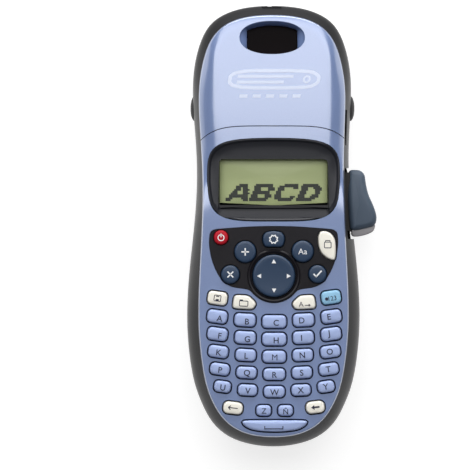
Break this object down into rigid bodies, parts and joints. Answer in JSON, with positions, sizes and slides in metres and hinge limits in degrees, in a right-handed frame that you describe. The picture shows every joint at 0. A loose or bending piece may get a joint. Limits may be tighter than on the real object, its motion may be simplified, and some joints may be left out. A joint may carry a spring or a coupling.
{
  "type": "handheld electronic label maker",
  "caption": "Handheld electronic label maker with display, letter keys, arrow pad, side cutter lever and a hinged door over its tape cassette.",
  "frame": {"origin": "centre of the flat back face, which the device rests on", "axes": "+X towards the side with the cutter lever, +Y towards the end where the label comes out, +Z out of the keypad"},
  "size_m": [0.0855, 0.2, 0.0481],
  "materials": {
    "rear_plastic": "satin",
    "face_plastic": "satin metallic blue",
    "lid_plastic": "semi-gloss metallic blue",
    "inlay": "satin",
    "bezel": "satin",
    "window": "clear acrylic",
    "lcd": "reflective LCD",
    "board": "solder mask",
    "cell": "printed sleeve",
    "head": "machined",
    "motor_can": "plated",
    "cassette": "moulded",
    "lever": "soft touch",
    "blade": "ground",
    "platen": "ground rubber",
    "gear": "acetal",
    "spool": "moulded",
    "key_blue": "satin",
    "key_cream": "satin",
    "key_cyan": "satin",
    "key_red": "satin",
    "key_navy": "satin"
  },
  "bodies": {
    "housing": {"rear_housing": "rear_plastic", "front_housing": "face_plastic", "control_panel": "inlay", "display_bezel": "bezel", "display_window": "window", "lcd_module": "lcd", "main_board": "board", "battery_cells": "cell", "print_head": "head", "drive_motor": "motor_can", "tape_cassette": "cassette"},
    "tape_door": {"tape_door": "lid_plastic"},
    "battery_door": {"battery_door": "rear_plastic"},
    "cutter_lever": {"cutter_lever": "lever"},
    "cutter_blade": {"cutter_blade": "blade"},
    "platen": {"platen_roller": "platen"},
    "spool": {"tape_spool": "spool"},
    "pinion": {"motor_pinion": "gear"},
    "key_a": {"key_a": "key_blue"},
    "key_b": {"key_b": "key_blue"},
    "key_c": {"key_c": "key_blue"},
    "key_d": {"key_d": "key_blue"},
    "key_e": {"key_e": "key_blue"},
    "key_f": {"key_f": "key_blue"},
    "key_g": {"key_g": "key_blue"},
    "key_h": {"key_h": "key_blue"},
    "key_i": {"key_i": "key_blue"},
    "key_j": {"key_j": "key_blue"},
    "key_k": {"key_k": "key_blue"},
    "key_l": {"key_l": "key_blue"},
    "key_m": {"key_m": "key_blue"},
    "key_n": {"key_n": "key_blue"},
    "key_o": {"key_o": "key_blue"},
    "key_p": {"key_p": "key_blue"},
    "key_q": {"key_q": "key_blue"},
    "key_r": {"key_r": "key_blue"},
    "key_s": {"key_s": "key_blue"},
    "key_t": {"key_t": "key_blue"},
    "key_u": {"key_u": "key_blue"},
    "key_v": {"key_v": "key_blue"},
    "key_w": {"key_w": "key_blue"},
    "key_x": {"key_x": "key_blue"},
    "key_y": {"key_y": "key_blue"},
    "key_z": {"key_z": "key_blue"},
    "key_n_tilde": {"key_n_tilde": "key_blue"},
    "key_space": {"key_space": "key_blue"},
    "key_save": {"key_save": "key_cream"},
    "key_open": {"key_open": "key_cream"},
    "key_caps": {"key_caps": "key_cream"},
    "key_clear": {"key_clear": "key_cream"},
    "key_backspace": {"key_backspace": "key_cream"},
    "key_number": {"key_number": "key_cyan"},
    "key_power": {"key_power": "key_red"},
    "key_insert": {"key_insert": "key_navy"},
    "key_settings": {"key_settings": "key_navy"},
    "key_format": {"key_format": "key_navy"},
    "key_print": {"key_print": "key_cream"},
    "key_cancel": {"key_cancel": "key_navy"},
    "key_arrows": {"key_arrows": "key_navy"},
    "key_ok": {"key_ok": "key_navy"}
  },
  "joints": [
    {"name": "battery_door_slide", "type": "slide", "parent": "housing", "child": "battery_door", "axis": [0, -1, 0], "range_m": [0, 0.03]},
    {"name": "cassette_door_hinge", "type": "hinge", "parent": "housing", "child": "tape_door", "pos_m": [0, 0.096, 0.0302], "axis": [-1, 0, 0], "range_deg": [0, 95]},
    {"name": "cutter_lever_pivot", "type": "hinge", "parent": "housing", "child": "cutter_lever", "pos_m": [0.0284, 0.058, 0.028], "axis": [0, 0, -1], "range_deg": [0, 6], "stiffness_Nm_per_rad": 4},
    {"name": "cutter_blade_slide", "type": "slide", "parent": "housing", "child": "cutter_blade", "axis": [1, 0, 0], "range_m": [0, 0.0035]},
    {"name": "feed_roller_spin", "type": "hinge", "parent": "housing", "child": "platen", "pos_m": [-0.006, 0.0776, 0.015], "axis": [0, 0, 1], "continuous": true},
    {"name": "feed_spool_spin", "type": "hinge", "parent": "housing", "child": "spool", "pos_m": [-0.0015, 0.0576, 0.02], "axis": [0, 0, 1], "continuous": true},
    {"name": "motor_pinion_spin", "type": "hinge", "parent": "housing", "child": "pinion", "pos_m": [0.00933, 0.07378, 0.005], "axis": [0, 0, 1], "continuous": true},
    {"name": "key_a_press", "type": "slide", "parent": "housing", "child": "key_a", "axis": [0, 0, -1], "range_m": [0, 0.0012], "stiffness_N_per_m": 400},
    {"name": "key_b_press", "type": "slide", "parent": "housing", "child": "key_b", "axis": [0, 0, -1], "range_m": [0, 0.0012], "stiffness_N_per_m": 400},
    {"name": "key_c_press", "type": "slide", "parent": "housing", "child": "key_c", "axis": [0, 0, -1], "range_m": [0, 0.0012], "stiffness_N_per_m": 400},
    {"name": "key_d_press", "type": "slide", "parent": "housing", "child": "key_d", "axis": [0, 0, -1], "range_m": [0, 0.0012], "stiffness_N_per_m": 400},
    {"name": "key_e_press", "type": "slide", "parent": "housing", "child": "key_e", "axis": [0, 0, -1], "range_m": [0, 0.0012], "stiffness_N_per_m": 400},
    {"name": "key_f_press", "type": "slide", "parent": "housing", "child": "key_f", "axis": [0, 0, -1], "range_m": [0, 0.0012], "stiffness_N_per_m": 400},
    {"name": "key_g_press", "type": "slide", "parent": "housing", "child": "key_g", "axis": [0, 0, -1], "range_m": [0, 0.0012], "stiffness_N_per_m": 400},
    {"name": "key_h_press", "type": "slide", "parent": "housing", "child": "key_h", "axis": [0, 0, -1], "range_m": [0, 0.0012], "stiffness_N_per_m": 400},
    {"name": "key_i_press", "type": "slide", "parent": "housing", "child": "key_i", "axis": [0, 0, -1], "range_m": [0, 0.0012], "stiffness_N_per_m": 400},
    {"name": "key_j_press", "type": "slide", "parent": "housing", "child": "key_j", "axis": [0, 0, -1], "range_m": [0, 0.0012], "stiffness_N_per_m": 400},
    {"name": "key_k_press", "type": "slide", "parent": "housing", "child": "key_k", "axis": [0, 0, -1], "range_m": [0, 0.0012], "stiffness_N_per_m": 400},
    {"name": "key_l_press", "type": "slide", "parent": "housing", "child": "key_l", "axis": [0, 0, -1], "range_m": [0, 0.0012], "stiffness_N_per_m": 400},
    {"name": "key_m_press", "type": "slide", "parent": "housing", "child": "key_m", "axis": [0, 0, -1], "range_m": [0, 0.0012], "stiffness_N_per_m": 400},
    {"name": "key_n_press", "type": "slide", "parent": "housing", "child": "key_n", "axis": [0, 0, -1], "range_m": [0, 0.0012], "stiffness_N_per_m": 400},
    {"name": "key_o_press", "type": "slide", "parent": "housing", "child": "key_o", "axis": [0, 0, -1], "range_m": [0, 0.0012], "stiffness_N_per_m": 400},
    {"name": "key_p_press", "type": "slide", "parent": "housing", "child": "key_p", "axis": [0, 0, -1], "range_m": [0, 0.0012], "stiffness_N_per_m": 400},
    {"name": "key_q_press", "type": "slide", "parent": "housing", "child": "key_q", "axis": [0, 0, -1], "range_m": [0, 0.0012], "stiffness_N_per_m": 400},
    {"name": "key_r_press", "type": "slide", "parent": "housing", "child": "key_r", "axis": [0, 0, -1], "range_m": [0, 0.0012], "stiffness_N_per_m": 400},
    {"name": "key_s_press", "type": "slide", "parent": "housing", "child": "key_s", "axis": [0, 0, -1], "range_m": [0, 0.0012], "stiffness_N_per_m": 400},
    {"name": "key_t_press", "type": "slide", "parent": "housing", "child": "key_t", "axis": [0, 0, -1], "range_m": [0, 0.0012], "stiffness_N_per_m": 400},
    {"name": "key_u_press", "type": "slide", "parent": "housing", "child": "key_u", "axis": [0, 0, -1], "range_m": [0, 0.0012], "stiffness_N_per_m": 400},
    {"name": "key_v_press", "type": "slide", "parent": "housing", "child": "key_v", "axis": [0, 0, -1], "range_m": [0, 0.0012], "stiffness_N_per_m": 400},
    {"name": "key_w_press", "type": "slide", "parent": "housing", "child": "key_w", "axis": [0, 0, -1], "range_m": [0, 0.0012], "stiffness_N_per_m": 400},
    {"name": "key_x_press", "type": "slide", "parent": "housing", "child": "key_x", "axis": [0, 0, -1], "range_m": [0, 0.0012], "stiffness_N_per_m": 400},
    {"name": "key_y_press", "type": "slide", "parent": "housing", "child": "key_y", "axis": [0, 0, -1], "range_m": [0, 0.0012], "stiffness_N_per_m": 400},
    {"name": "key_z_press", "type": "slide", "parent": "housing", "child": "key_z", "axis": [0, 0, -1], "range_m": [0, 0.0012], "stiffness_N_per_m": 400},
    {"name": "key_n_tilde_press", "type": "slide", "parent": "housing", "child": "key_n_tilde", "axis": [0, 0, -1], "range_m": [0, 0.0012], "stiffness_N_per_m": 400},
    {"name": "key_space_press", "type": "slide", "parent": "housing", "child": "key_space", "axis": [0, 0, -1], "range_m": [0, 0.0012], "stiffness_N_per_m": 400},
    {"name": "key_save_press", "type": "slide", "parent": "housing", "child": "key_save", "axis": [0, 0, -1], "range_m": [0, 0.0012], "stiffness_N_per_m": 400},
    {"name": "key_open_press", "type": "slide", "parent": "housing", "child": "key_open", "axis": [0, 0, -1], "range_m": [0, 0.0012], "stiffness_N_per_m": 400},
    {"name": "key_caps_press", "type": "slide", "parent": "housing", "child": "key_caps", "axis": [0, 0, -1], "range_m": [0, 0.0012], "stiffness_N_per_m": 400},
    {"name": "key_clear_press", "type": "slide", "parent": "housing", "child": "key_clear", "axis": [0, 0, -1], "range_m": [0, 0.0012], "stiffness_N_per_m": 400},
    {"name": "key_backspace_press", "type": "slide", "parent": "housing", "child": "key_backspace", "axis": [0, 0, -1], "range_m": [0, 0.0012], "stiffness_N_per_m": 400},
    {"name": "key_number_press", "type": "slide", "parent": "housing", "child": "key_number", "axis": [0, 0, -1], "range_m": [0, 0.0012], "stiffness_N_per_m": 400},
    {"name": "key_power_press", "type": "slide", "parent": "housing", "child": "key_power", "axis": [0, 0, -1], "range_m": [0, 0.0012], "stiffness_N_per_m": 400},
    {"name": "key_insert_press", "type": "slide", "parent": "housing", "child": "key_insert", "axis": [0, 0, -1], "range_m": [0, 0.0012], "stiffness_N_per_m": 400},
    {"name": "key_settings_press", "type": "slide", "parent": "housing", "child": "key_settings", "axis": [0, 0, -1], "range_m": [0, 0.0012], "stiffness_N_per_m": 400},
    {"name": "key_format_press", "type": "slide", "parent": "housing", "child": "key_format", "axis": [0, 0, -1], "range_m": [0, 0.0012], "stiffness_N_per_m": 400},
    {"name": "key_print_press", "type": "slide", "parent": "housing", "child": "key_print", "axis": [0, 0, -1], "range_m": [0, 0.0012], "stiffness_N_per_m": 400},
    {"name": "key_cancel_press", "type": "slide", "parent": "housing", "child": "key_cancel", "axis": [0, 0, -1], "range_m": [0, 0.0012], "stiffness_N_per_m": 400},
    {"name": "key_arrows_press", "type": "slide", "parent": "housing", "child": "key_arrows", "axis": [0, 0, -1], "range_m": [0, 0.0012], "stiffness_N_per_m": 400},
    {"name": "key_ok_press", "type": "slide", "parent": "housing", "child": "key_ok", "axis": [0, 0, -1], "range_m": [0, 0.0012], "stiffness_N_per_m": 400}
  ],
  "couplings": [
    {"joint": "cutter_blade_slide", "follows": "cutter_lever_pivot", "m_per_rad": 0.028},
    {"joint": "motor_pinion_spin", "follows": "feed_roller_spin", "ratio": -2.4444},
    {"joint": "feed_spool_spin", "follows": "feed_roller_spin", "ratio": 0.5128}
  ]
}
